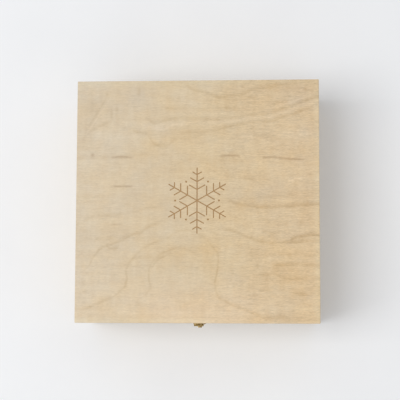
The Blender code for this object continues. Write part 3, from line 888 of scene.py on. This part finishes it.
def board_wood(name, along, pith, tilt, seed):
    """Light solid wood with rings about a pith line that runs nearly along the board.

    along is the board's length, X or Y. pith is where the rings' middle lies, out along the
    board's thickness and up, and tilt is how far it drifts out per metre of length.
    """
    finish = Finish(name, specular=0.3)
    through = 1 - along
    noise = {}
    for kind, (long_size, thick_size, high_size, shift, detail) in board_noises.items():
        size = [0, 0, high_size]
        size[along] = long_size
        size[through] = thick_size
        noise[kind] = finish.cloud(size, seed + shift, detail)
    length = finish.axis(finish.place, along)
    outward = finish.axis(finish.place, through) - pith[0] + length * tilt
    outward = outward + swing(noise["drift"], ring_drift)
    upward = finish.axis(finish.place, Z) - pith[1]
    radius = (outward * outward + upward * upward) ** 0.5
    ring = finish.math("FRACT", radius / ring_width + noise["pace"])
    late = finish.fade(ring, *late_wood_rise) * finish.fade(ring, *late_wood_fall)
    late = late * finish.fade(noise["fading"], *fading_edge)

    tone = finish.mix(noise["mottle"], board_dark, board_pale)
    tone = finish.tint(tone, late_wood_tint, late * late_wood_strength)
    tone = finish.shade(tone, 1.0 + swing(noise["fibres"], board_fibre_reach)
                        + swing(noise["pores"], board_pore_reach))
    end_grain = finish.fade(finish.size(finish.axis(finish.facing, along)), *end_edge)
    finish.colour(finish.tint(tone, end_grain_tint, end_grain))
    finish.roughness(board_roughness + noise["fibres"] * fibre_roughness
                     + end_grain * end_grain_roughness)
    wood_grain_relief(finish, noise, wood_relief)
    return finish.material


floor_noises = {
    "bands": ((0.150, 0.0080, 0.03), 11, 4),
    "fibres": ((0.014, 0.0010, 0.01), 12, 3),
    "pores": ((0.0030, 0.00022, 0.01), 13, 2),
}
floor_band_edge = (0.3, 0.7)
floor_dark = srgb(205, 184, 150)
floor_pale = srgb(217, 198, 166)
floor_core = srgb(180, 148, 108)
floor_fibre_reach = 0.18
floor_pore_reach = 0.12


def floor_plywood():
    """Thin birch plywood, with its plies at the edge."""
    finish = Finish("birch_floor_plywood", specular=0.3, roughness=0.6)
    low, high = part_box("base_floor_panel")
    noise = finish.clouds(floor_noises)
    tone = finish.mix(finish.fade(noise["bands"], *floor_band_edge), floor_dark, floor_pale)
    tone = finish.shade(tone, 1.0 + swing(noise["fibres"], floor_fibre_reach)
                        + swing(noise["pores"], floor_pore_reach))
    finish.colour(finish.mix(core_plies(finish, low, high, floor_core_edge), tone, floor_core))
    finish.relief(noise["fibres"], wood_relief)
    return finish.material


brass_noises = {
    "dull": ((0.0016, 0.0016, 0.0016), 21, 5),
    "worn": ((0.0090, 0.0090, 0.0090), 23, 3),
    "brushed": ((0.0050, 0.0050, 0.00010), 22, 2),
}
# Brass tones, all far darker than clean brass: a painted dark reflection that stands in for a dim room
# mirrored in the metal. The worn and dull tones add random tarnish on top.
bright_brass = (0.44, 0.31, 0.125)
worn_brass = (0.34, 0.235, 0.092)
dull_brass = (0.19, 0.13, 0.055)
brushed_brass = (0.62, 0.46, 0.20)
worn_edge = (0.35, 0.70)
dull_edge = (0.50, 0.85)
matt_edge = (0.45, 0.85)
dull_strength = 0.7
brushed_strength = 0.2
brass_roughness = 0.11
matt_roughness = 0.20
brushed_roughness = 0.06
brass_relief = 0.000003


def yellow_brass():
    """Pressed brass sheet, dulled here and there."""
    finish = Finish("yellow_brass", metallic=1.0)
    noise = finish.clouds(brass_noises)
    tone = finish.mix(finish.fade(noise["worn"], *worn_edge), bright_brass, worn_brass)
    tone = finish.mix(finish.fade(noise["dull"], *dull_edge) * dull_strength, tone, dull_brass)
    finish.colour(finish.mix(noise["brushed"] * brushed_strength, tone, brushed_brass))
    finish.roughness(brass_roughness + finish.fade(noise["dull"], *matt_edge) * matt_roughness
                     + noise["brushed"] * brushed_roughness)
    finish.relief(noise["brushed"], brass_relief)
    return finish.material


floor_cloud = ((0.12, 0.12, 0.12), 31, 4)
floor_grey = srgb(238, 240, 244)
floor_white = srgb(246, 248, 251)


def pale_floor():
    """Plain pale floor with a faint unevenness."""
    finish = Finish("pale_floor", specular=0.2, roughness=0.8)
    finish.colour(finish.mix(finish.cloud(*floor_cloud), floor_grey, floor_white))
    return finish.material


def new_thing(name, shape):
    """Make an object of a bmesh."""
    mesh = bpy.data.meshes.new(name)
    bmesh.ops.recalc_face_normals(shape, faces=shape.faces)
    shape.to_mesh(mesh)
    shape.free()
    thing = bpy.data.objects.new(name, mesh)
    bpy.context.scene.collection.objects.link(thing)
    return thing


def add_block(shape, low, high):
    """Add the box between two corners to a bmesh."""
    low = Vector(low)
    high = Vector(high)
    size = Matrix.Diagonal((*(high - low), 1))
    return bmesh.ops.create_cube(shape, size=1, matrix=Matrix.Translation((low + high) / 2) @ size)


def add_prism(shape, corners, shift):
    """Add the prism that a flat outline sweeps when it is moved."""
    face = shape.faces.new([shape.verts.new(corner) for corner in corners])
    grown = bmesh.ops.extrude_face_region(shape, geom=[face])
    moved = [item for item in grown["geom"] if isinstance(item, bmesh.types.BMVert)]
    bmesh.ops.translate(shape, verts=moved, vec=shift)


def settle(thing):
    """Make a thing's modifiers part of its mesh."""
    graph = bpy.context.evaluated_depsgraph_get()
    mesh = bpy.data.meshes.new_from_object(thing.evaluated_get(graph))
    thing.modifiers.clear()
    thing.data = mesh


def cut(thing, cutter, operation="DIFFERENCE"):
    """Cut a thing with another, or keep what they share, and take the cutter away."""
    modifier = thing.modifiers.new(cutter.name, "BOOLEAN")
    modifier.operation = operation
    modifier.solver = "EXACT"
    modifier.object = cutter
    settle(thing)
    bpy.data.objects.remove(cutter)


def soften(thing, radius, steps):
    """Round a thing's sharp edges a little, and merge the points that meet."""
    bevel = thing.modifiers.new("arrises", "BEVEL")
    bevel.width = radius
    bevel.segments = steps
    bevel.limit_method = "ANGLE"
    settle(thing)
    shape = bmesh.new()
    shape.from_mesh(thing.data)
    bmesh.ops.remove_doubles(shape, verts=shape.verts[:], dist=merge_distance)
    shape.to_mesh(thing.data)
    shape.free()


def smooth(thing):
    """Shade round stretches smoothly and keep flat faces flat."""
    thing.data.shade_smooth()
    thing.data.set_sharp_from_angle(angle=smooth_turn)
    normals = thing.modifiers.new("flat_faces", "WEIGHTED_NORMAL")
    normals.keep_sharp = True
    settle(thing)


def finish_piece(thing, material, node):
    """Give a piece its material and let it stand for its solid, on that solid's body."""
    thing.data.materials.clear()
    thing.data.materials.append(material)
    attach(thing, body_of(frame["nodes"][node])[0])
    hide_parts(node)


def sanded_block(nodes):
    """The rounded outside of the glued-up base or lid that these solids make together."""
    corners = [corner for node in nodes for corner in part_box(node)]
    low = [min(corner[axis] for corner in corners) for axis in (X, Y, Z)]
    high = [max(corner[axis] for corner in corners) for axis in (X, Y, Z)]
    shape = bmesh.new()
    add_block(shape, low, high)
    bmesh.ops.bevel(shape, geom=shape.edges[:], offset=edge_radius, segments=edge_steps,
                    profile=round_profile, affect="EDGES")
    return new_thing("sanded_block", shape)


def finger_board(node, along, first, layers, outside):
    """A board with fingers at both ends in every second layer from the first given."""
    low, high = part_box(node)
    through = 1 - along
    thickness = high[through] - low[through]
    pitch = (high.z - low.z) / layers
    right_end = []
    for layer in range(layers):
        finger = layer % 2 == first
        reach = high[along] if finger else high[along] - thickness - glue_line
        slack = glue_line / 2 if finger else -glue_line / 2
        bottom = low.z if layer == 0 else low.z + pitch * layer + slack
        top = high.z if layer == layers - 1 else low.z + pitch * (layer + 1) - slack
        right_end += [(reach, bottom), (reach, top)]
    left_end = [(-reach, level) for reach, level in reversed(right_end)]
    corners = []
    for reach, level in right_end + left_end:
        corner = Vector((0, 0, level))
        corner[along] = reach
        corner[through] = low[through]
        corners.append(corner)
    shift = Vector((0, 0, 0))
    shift[through] = thickness
    shape = bmesh.new()
    add_prism(shape, corners, shift)
    board = new_thing(f"{node}_board", shape)
    cut(board, sanded_block(outside), "INTERSECT")
    return board


def floor_rabbet():
    """The block of wood that the floor panel takes out of the walls."""
    low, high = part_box("base_floor_panel")
    gap = Vector((glue_line, glue_line, glue_line))
    shape = bmesh.new()
    add_block(shape, (low.x - gap.x, low.y - gap.y, low.z - overrun), high + gap)
    return new_thing("floor_rabbet", shape)


# How each board was sawn: its ring middle, out along its thickness and up, and the ring's tilt
sawn = {
    "base_front_wall": ((-0.060, -0.030), 0.10),
    "base_back_wall": ((0.052, 0.110), -0.16),
    "base_left_wall": ((-0.070, 0.015), 0.13),
    "base_right_wall": ((0.048, 0.060), -0.09),
    "lid_front_rail": ((-0.050, 0.150), 0.12),
    "lid_back_rail": ((0.066, 0.040), 0.08),
    "lid_left_rail": ((-0.058, 0.120), -0.12),
    "lid_right_rail": ((0.060, 0.030), 0.15),
}


def sawn_boards():
    """The eight boards of the base and the lid, by the name of the solid that each stands for."""
    boards = {}
    for part, suffix, layers in (("base", "wall", base_layers), ("lid", "rail", lid_layers)):
        names = [f"{part}_{side}_{suffix}" for side in ("front", "back", "left", "right")]
        outside = names + (["lid_top_panel"] if part == "lid" else [])
        for number, node in enumerate(names):
            along = X if number < 2 else Y
            first = 0 if number < 2 else 1
            boards[node] = finger_board(node, along, first, layers, outside)
            if part == "base":
                cut(boards[node], floor_rabbet())
    return boards


def finish_boards(boards):
    """Ease the boards' edges and give each its own wood."""
    for number, (node, board) in enumerate(boards.items()):
        soften(board, arris_radius, arris_steps)
        smooth(board)
        low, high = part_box(node)
        along = X if high.x - low.x > high.y - low.y else Y
        pith, tilt = sawn[node]
        seed = first_board_seed + number * board_seed_step
        wood = board_wood(f"{node}_wood", along, pith, tilt, seed)
        finish_piece(board, wood, node)


def arm_outline():
    """Half an arm of the ornament and its mirror image, from valley to valley, along +X."""
    half = groove_width / 2
    toward = Vector((cos(branch_turn), sin(branch_turn)))
    inner_side = Vector((-sin(branch_turn), cos(branch_turn))) * half
    upper = []
    valley = half / sin(pi / arm_count)
    upper.append(Vector((valley * cos(pi / arm_count), valley * sin(pi / arm_count))))
    for place_share, length_share in zip(branch_place_shares, branch_length_shares):
        root = Vector((arm_reach * place_share, 0))
        tip = root + toward * arm_reach * length_share
        upper.append(root + toward * (half - inner_side.y) / toward.y + inner_side)
        for step in range(cap_steps + 1):
            turn = branch_turn + pi / 2 - pi * step / cap_steps
            upper.append(tip + Vector((cos(turn), sin(turn))) * half)
        upper.append(root + toward * (half + inner_side.y) / toward.y - inner_side)
    for step in range(cap_steps):
        turn = pi / 2 - pi / 2 * step / cap_steps
        upper.append(Vector((arm_reach + half * cos(turn), half * sin(turn))))
    lower = [Vector((point.x, -point.y)) for point in reversed(upper[1:])]
    end = Vector((arm_reach + half, 0))
    return upper + [end] + lower


def ornament_cutter():
    """A six-armed frost star with a ring of dots, as the shape that is cut out of the lid."""
    shape = bmesh.new()
    arm = arm_outline()
    corners = []
    for number in range(arm_count):
        spin = Matrix.Rotation(-2 * pi * number / arm_count, 2)
        corners += [spin @ point for point in arm]
    level = lid_high.z - groove_depth
    rise = groove_depth + groove_overrun
    add_prism(shape, [(point.x, point.y, level) for point in corners], (0, 0, rise))
    for number in range(arm_count):
        turn = 2 * pi * (number + 0.5) / arm_count
        middle = Vector((dot_ring * cos(turn), dot_ring * sin(turn)))
        ring = [(middle.x + dot_radius * cos(2 * pi * step / dot_steps),
                 middle.y + dot_radius * sin(2 * pi * step / dot_steps), level)
                for step in range(dot_steps)]
        add_prism(shape, ring, (0, 0, rise))
    cutter = new_thing("ornament_cutter", shape)
    cutter.data.transform(Matrix.Rotation(pi / 2, 4, "Z"))
    return cutter


def lid_panel():
    """The veneered panel with its engraved ornament."""
    shape = bmesh.new()
    add_block(shape, lid_low, lid_high)
    panel = new_thing("lid_top_panel_veneered", shape)
    rails = [f"lid_{side}_rail" for side in ("front", "back", "left", "right")]
    cut(panel, sanded_block(rails + ["lid_top_panel"]), "INTERSECT")
    soften(panel, arris_radius, arris_steps)
    cut(panel, ornament_cutter())
    smooth(panel)
    finish_piece(panel, lid_veneer(), "lid_top_panel")


def floor_panel():
    """The plywood floor."""
    low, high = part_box("base_floor_panel")
    shape = bmesh.new()
    add_block(shape, low, high)
    panel = new_thing("base_floor_panel_plywood", shape)
    soften(panel, arris_radius, arris_steps)
    smooth(panel)
    finish_piece(panel, floor_plywood(), "base_floor_panel")


def middle_of(node):
    """The middle of a solid's box."""
    low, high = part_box(node)
    return (low + high) / 2


def brass_piece(thing, node, brass):
    """Ease a brass piece's stamped edges and let it stand for its solid."""
    soften(thing, stamped_edge, stamped_steps)
    smooth(thing)
    finish_piece(thing, brass, node)


def turned(name, outline):
    """Spin an outline of (radius, height) about the Z axis."""
    shape = bmesh.new()
    line = [shape.verts.new((radius, 0, height)) for radius, height in outline]
    edges = [shape.edges.new(pair) for pair in zip(line, line[1:])]
    bmesh.ops.spin(shape, geom=line + edges, axis=(0, 0, 1), cent=(0, 0, 0), angle=2 * pi,
                   steps=turned_steps, use_merge=True)
    bmesh.ops.remove_doubles(shape, verts=shape.verts[:], dist=merge_distance)
    return new_thing(name, shape)


def stand(thing, place, outward, turn=0.0):
    """Put a turned thing at a place on a face, with its head outward along Y."""
    upright = Matrix.Rotation(-pi / 2 * outward, 4, "X") @ Matrix.Rotation(turn, 4, "Z")
    thing.data.transform(Matrix.Translation(place) @ upright)


def screw_outline(slack, proud=0.0):
    """Countersunk screw from its flat head, or with some slack the hole that takes it."""
    head = screw_head_radius + slack
    shank = screw_shank_radius + slack
    tip = -screw_length - slack
    crown = [(0, proud), (head, proud), (head, 0)] if proud else [(0, 0), (head, 0)]
    return crown + [(shank, -screw_head_depth), (shank, tip + screw_point), (0, tip)]


def nail_outline(slack, proud=0.0):
    """Domed nail on its plate, or with some slack the hole that takes its shank."""
    shank = nail_shank_radius + slack
    tip = -nail_length - slack
    crown = [(0, proud), (shank, proud)]
    if not proud:
        crown = [(nail_head_radius * sin(pi / 2 * step / dome_steps),
                  nail_head_height * cos(pi / 2 * step / dome_steps))
                 for step in range(dome_steps + 1)]
        crown.append((shank, 0))
    return crown + [(shank, tip + nail_point), (0, tip)]


def fasten(node, outline, seat, outward, pierced, brass, turn=0.0):
    """A screw or nail with its head on a seat, and its hole in each piece it goes through."""
    place = middle_of(node)
    place.y = seat
    for piece in pierced:
        hole = turned(f"{node}_hole", outline(brass_gap, overrun))
        stand(hole, place, outward)
        cut(piece, hole)
    fastener = turned(f"{node}_brass", outline(0.0))
    if outline is screw_outline:
        shape = bmesh.new()
        add_block(shape, (-overrun, -screw_slot_width / 2, -screw_slot_depth),
                  (overrun, screw_slot_width / 2, overrun))
        cut(fastener, new_thing("driver_slot", shape))
    stand(fastener, place, outward, turn)
    brass_piece(fastener, node, brass)


def chamfered_pin(node, brass):
    """A pin along X with chamfered ends."""
    low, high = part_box(node)
    radius = (high.z - low.z) / 2
    half = (high.x - low.x) / 2
    chamfer = radius * pin_chamfer_share
    pin = turned(f"{node}_brass", [(0, half), (radius - chamfer, half), (radius, half - chamfer),
                                   (radius, chamfer - half), (radius - chamfer, -half), (0, -half)])
    pin.data.transform(Matrix.Translation((low + high) / 2) @ Matrix.Rotation(pi / 2, 4, "Y"))
    brass_piece(pin, node, brass)


def leaf_rows(length, half_width, corner, barrel, sheet, swage):
    """A leaf's strip as (out, along, half width) from its pin, from its free edge to the roll."""
    metal = sheet + packing
    roll_plane = metal / 2 - barrel
    rows = []
    for step in range(corner_steps + 1):
        turn = pi / 2 * step / corner_steps
        rows.append((roll_plane - packing, length - corner * (1 - cos(turn)),
                     half_width - corner * (1 - sin(turn))))
    for step in range(swage_steps + 1):
        share = step / swage_steps
        rows.append((roll_plane - packing * (1 - ease(share)),
                     swage[0] + (swage[1] - swage[0]) * share, half_width))
    return rows + rolled_rows(barrel - metal / 2, half_width)


def ease(share):
    """Go from 0 to 1 and start and end level."""
    return (1 - cos(pi * share)) / 2


def rolled_rows(radius, half_width):
    """Rows around the pin, from the leaf to the rolled end."""
    rows = []
    for step in range(roll_steps + 1):
        turn = pi + roll_sweep * step / roll_steps
        rows.append((radius * cos(turn), radius * sin(turn), half_width))
    return rows


def strip(name, rows, metal, place, outward, leaf_side, columns=1, dome=None):
    """Bend a strip of sheet brass along its rows, with a dome pressed into it if one is given."""
    shape = bmesh.new()
    bmesh.ops.create_grid(shape, x_segments=columns, y_segments=len(rows) - 1, size=1)
    for index, corner in enumerate(shape.verts):
        number, column = divmod(index, columns + 1)
        out, along, half_width = rows[number]
        x = half_width * (2 * column / columns - 1)
        if dome:
            shift_out, shift_along = dome(number, x)
            out += shift_out
            along += shift_along
        corner.co = (x, out * outward, along * leaf_side)
    thing = new_thing(name, shape)
    sheet = thing.modifiers.new("sheet", "SOLIDIFY")
    sheet.thickness = metal
    sheet.offset = 0
    sheet.use_even_offset = True
    settle(thing)
    thing.data.transform(Matrix.Translation(place))
    return thing


def cut_knuckles(thing, place, length, count, first, barrel, leaf_side):
    """Cut room for the other leaf's knuckles out of a rolled strip."""
    pitch = length / count
    shape = bmesh.new()
    for knuckle in range(first, count, 2):
        low = pitch * knuckle - length / 2 - brass_gap
        high = pitch * (knuckle + 1) - length / 2 + brass_gap
        if knuckle == 0:
            low -= overrun
        if knuckle == count - 1:
            high += overrun
        ends = sorted((-(barrel + overrun) * leaf_side, (barrel + brass_gap) * leaf_side))
        add_block(shape, (low, -barrel - overrun, ends[0]), (high, barrel + overrun, ends[1]))
    bmesh.ops.translate(shape, verts=shape.verts[:], vec=place)
    cut(thing, new_thing("knuckle_room", shape))


def rolled_leaf(node, place, outward, leaf_side, first, knuckles, corner, barrel, sheet, swage):
    """A hinge leaf or clasp plate, rolled about a pin, with room for the other's knuckles."""
    low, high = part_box(node)
    width = high.x - low.x
    length = high.z - place.z if leaf_side == UP else place.z - low.z
    rows = leaf_rows(length, width / 2, corner, barrel, sheet, swage)
    leaf = strip(f"{node}_brass", rows, sheet + packing, place, outward, leaf_side)
    cut_knuckles(leaf, place, width, knuckles, first, barrel, leaf_side)
    return leaf


def butt_hinges(boards, brass):
    """Two hinges, each of two rolled leaves on a pin, held by four countersunk screws."""
    for side in ("left", "right"):
        place = middle_of(f"{side}_hinge_pin")
        for part, leaf_side, first, wood in (("base", DOWN, 1, "base_back_wall"),
                                             ("lid", UP, 0, "lid_back_rail")):
            node = f"{side}_hinge_{part}_leaf"
            leaf = rolled_leaf(node, place, TO_BACK, leaf_side, first, hinge_knuckles, hinge_corner,
                               hinge_barrel, hinge_sheet, hinge_swage)
            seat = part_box("base_back_wall")[1].y + clearance + hinge_sheet
            for number in (1, 2):
                turn = screw_turn * number + place.x * leaf_side * screw_turn_per_metre
                fasten(f"{side}_hinge_{part}_screw_{number}", screw_outline, seat, TO_BACK,
                       (leaf, boards[wood]), brass, turn)
            brass_piece(leaf, node, brass)
        chamfered_pin(f"{side}_hinge_pin", brass)


def clasp_plate(boards, brass, seat):
    """The plate on the lid, with its two knuckles, its nails and the hasp's pin."""
    plate = rolled_leaf("clasp_plate", middle_of("clasp_pin"), TO_FRONT, UP, 1, clasp_knuckles,
                        clasp_corner, clasp_barrel, clasp_sheet, clasp_swage)
    for number in (1, 2):
        fasten(f"clasp_plate_nail_{number}", nail_outline, seat, TO_FRONT,
               (plate, boards["lid_front_rail"]), brass)
    brass_piece(plate, "clasp_plate", brass)
    chamfered_pin("clasp_pin", brass)


def tongue_rows(full_half):
    """The hasp's strip, from the tip of its curled lip up to its knuckle."""
    tip_half = tongue_tip_width / 2
    waist_half = tongue_waist_width / 2
    curl_length = lip_radius * lip_turn
    lip_centre = tongue_length - lip_radius
    rows = []
    for step in range(lip_steps + 1):
        turn = pi - lip_turn * (1 - step / lip_steps)
        gone = curl_length * step / lip_steps
        half_width = tip_half
        if gone < tip_corner:
            half_width -= tip_corner - (tip_corner ** 2 - (tip_corner - gone) ** 2) ** 0.5
            half_width = max(half_width, tip_half - tip_corner * tip_corner_share)
        rows.append((tongue_plane + lip_radius + lip_radius * cos(turn),
                     lip_centre + lip_radius * sin(turn), half_width))
    rows.append((tongue_plane, nose_drop + nose_height / 2 + window_margin, waist_half))
    rows.append((tongue_plane, tongue_waist, waist_half))
    for step in range(1, bend_steps):
        share = step / bend_steps
        along = tongue_waist + (tongue_shoulder - tongue_waist) * share
        if along > joggle_end:
            rows.append((tongue_plane, along, waist_half + (full_half - waist_half) * ease(share)))
    roll_plane = clasp_sheet / 2 - clasp_barrel
    for step in range(bend_steps + 1):
        share = step / bend_steps
        along = joggle_end + (joggle_start - joggle_end) * share
        reached = min(1, (tongue_waist - along) / (tongue_waist - tongue_shoulder))
        rows.append((tongue_plane + (roll_plane - tongue_plane) * ease(share), along,
                     waist_half + (full_half - waist_half) * ease(reached)))
    return rows + rolled_rows(clasp_barrel - clasp_sheet / 2, full_half)


def lip_dome(row, x):
    """Where the lip's pressed dome shifts a point of the tongue, out and along."""
    share = max(0, 1 - row / lip_steps)
    turn = pi - lip_turn * share
    rise = lip_crown * share * (1 - (2 * x / tongue_tip_width) ** 2)
    return -rise * cos(turn), -rise * sin(turn)


def rounded_outline(half_width, half_height, corner):
    """The corners of a rounded rectangle about zero, across and up."""
    points = []
    for quarter, (side, level) in enumerate(((1, 1), (-1, 1), (-1, -1), (1, -1))):
        for step in range(corner_steps + 1):
            turn = pi / 2 * (quarter + step / corner_steps)
            points.append((side * (half_width - corner) + corner * cos(turn),
                           level * (half_height - corner) + corner * sin(turn)))
    return points


def clasp_hasp(brass):
    """The tongue with its knuckle, its window for the nose and its curled finger lip."""
    place = middle_of("clasp_pin")
    low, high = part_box("clasp_plate")
    width = high.x - low.x
    origin = Vector((0, 0, 0))
    hasp = strip("clasp_hasp_brass", tongue_rows(width / 2), clasp_sheet, origin, TO_FRONT, DOWN,
                 lip_columns, lip_dome)
    cut_knuckles(hasp, origin, width, clasp_knuckles, 0, clasp_barrel, DOWN)
    shape = bmesh.new()
    corners = rounded_outline(nose_width / 2 + window_margin, nose_height / 2 + window_margin,
                              window_corner)
    add_prism(shape, [(x, -overrun, z - nose_drop) for x, z in corners], (0, overrun * 2, 0))
    cut(hasp, new_thing("hasp_window", shape))
    hasp.data.transform(Matrix.Translation(place) @ Matrix.Rotation(-hasp_lean, 4, "X"))
    brass_piece(hasp, "clasp_hasp", brass)


def clasp_keeper(boards, brass, seat):
    """The plate on the base, with its pressed nose and its nails."""
    low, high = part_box("clasp_keeper")
    middle = middle_of("clasp_keeper")
    corners = rounded_outline((high.x - low.x) / 2, (high.z - low.z) / 2, keeper_corner)
    shape = bmesh.new()
    add_prism(shape, [(x, seat, z + middle.z) for x, z in corners], (0, clasp_sheet + packing, 0))
    keeper = new_thing("clasp_keeper_brass", shape)
    outline = [(-nose_width / 2, seat + nose_root, middle.z - nose_height / 2)]
    for step in range(nose_steps + 1):
        turn = pi / 2 * step / nose_steps
        outline.append((-nose_width / 2, seat - nose_reach * cos(turn),
                        middle.z + nose_height * sin(turn) - nose_height / 2))
    outline.append((-nose_width / 2, seat + nose_root, middle.z + nose_height / 2))
    shape = bmesh.new()
    add_prism(shape, outline, (nose_width, 0, 0))
    nose = new_thing("keeper_nose", shape)
    soften(nose, nose_edge, stamped_steps)
    cut(keeper, nose, "UNION")
    for number in (1, 2):
        fasten(f"clasp_keeper_nail_{number}", nail_outline, seat, TO_FRONT,
               (keeper, boards["base_front_wall"]), brass)
    brass_piece(keeper, "clasp_keeper", brass)


def studio():
    """Floor, soft light and the camera of the photograph."""
    shape = bmesh.new()
    bmesh.ops.create_grid(shape, x_segments=1, y_segments=1, size=floor_half_width)
    ground = new_thing("pale_floor_plane", shape)
    ground.data.materials.append(pale_floor())

    world = bpy.data.worlds.new("soft_room")
    bpy.context.scene.world = world
    world.use_nodes = True
    world.node_tree.nodes["Background"].inputs["Color"].default_value = (1.0, 1.0, 1.0, 1)
    world.node_tree.nodes["Background"].inputs["Strength"].default_value = room_light

    lamp = bpy.data.lights.new("window_light", "AREA")
    lamp.shape = "RECTANGLE"
    lamp.size = window_width
    lamp.size_y = window_height
    lamp.energy = window_power
    lamp.color = window_colour
    window = bpy.data.objects.new("window_light", lamp)
    window.location = window_place
    window.rotation_euler = (-window_place).to_track_quat("-Z", "Y").to_euler()
    bpy.context.scene.collection.objects.link(window)

    lens = bpy.data.cameras.new("camera")
    lens.sensor_width = sensor_width
    lens.lens = focal_pixels * sensor_width / image_pixels
    lens.clip_start = near_clip
    lens.clip_end = far_clip
    camera = bpy.data.objects.new("camera", lens)
    camera.location = camera_place
    camera.rotation_euler = camera_turn
    bpy.context.scene.collection.objects.link(camera)
    bpy.context.scene.camera = camera
    bpy.context.scene.view_settings.view_transform = "Standard"


brass = yellow_brass()
boards = sawn_boards()
butt_hinges(boards, brass)
clasp_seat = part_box("base_front_wall")[0].y - clearance - clasp_sheet
clasp_plate(boards, brass, clasp_seat)
clasp_hasp(brass)
clasp_keeper(boards, brass, clasp_seat)
finish_boards(boards)
lid_panel()
floor_panel()
studio()
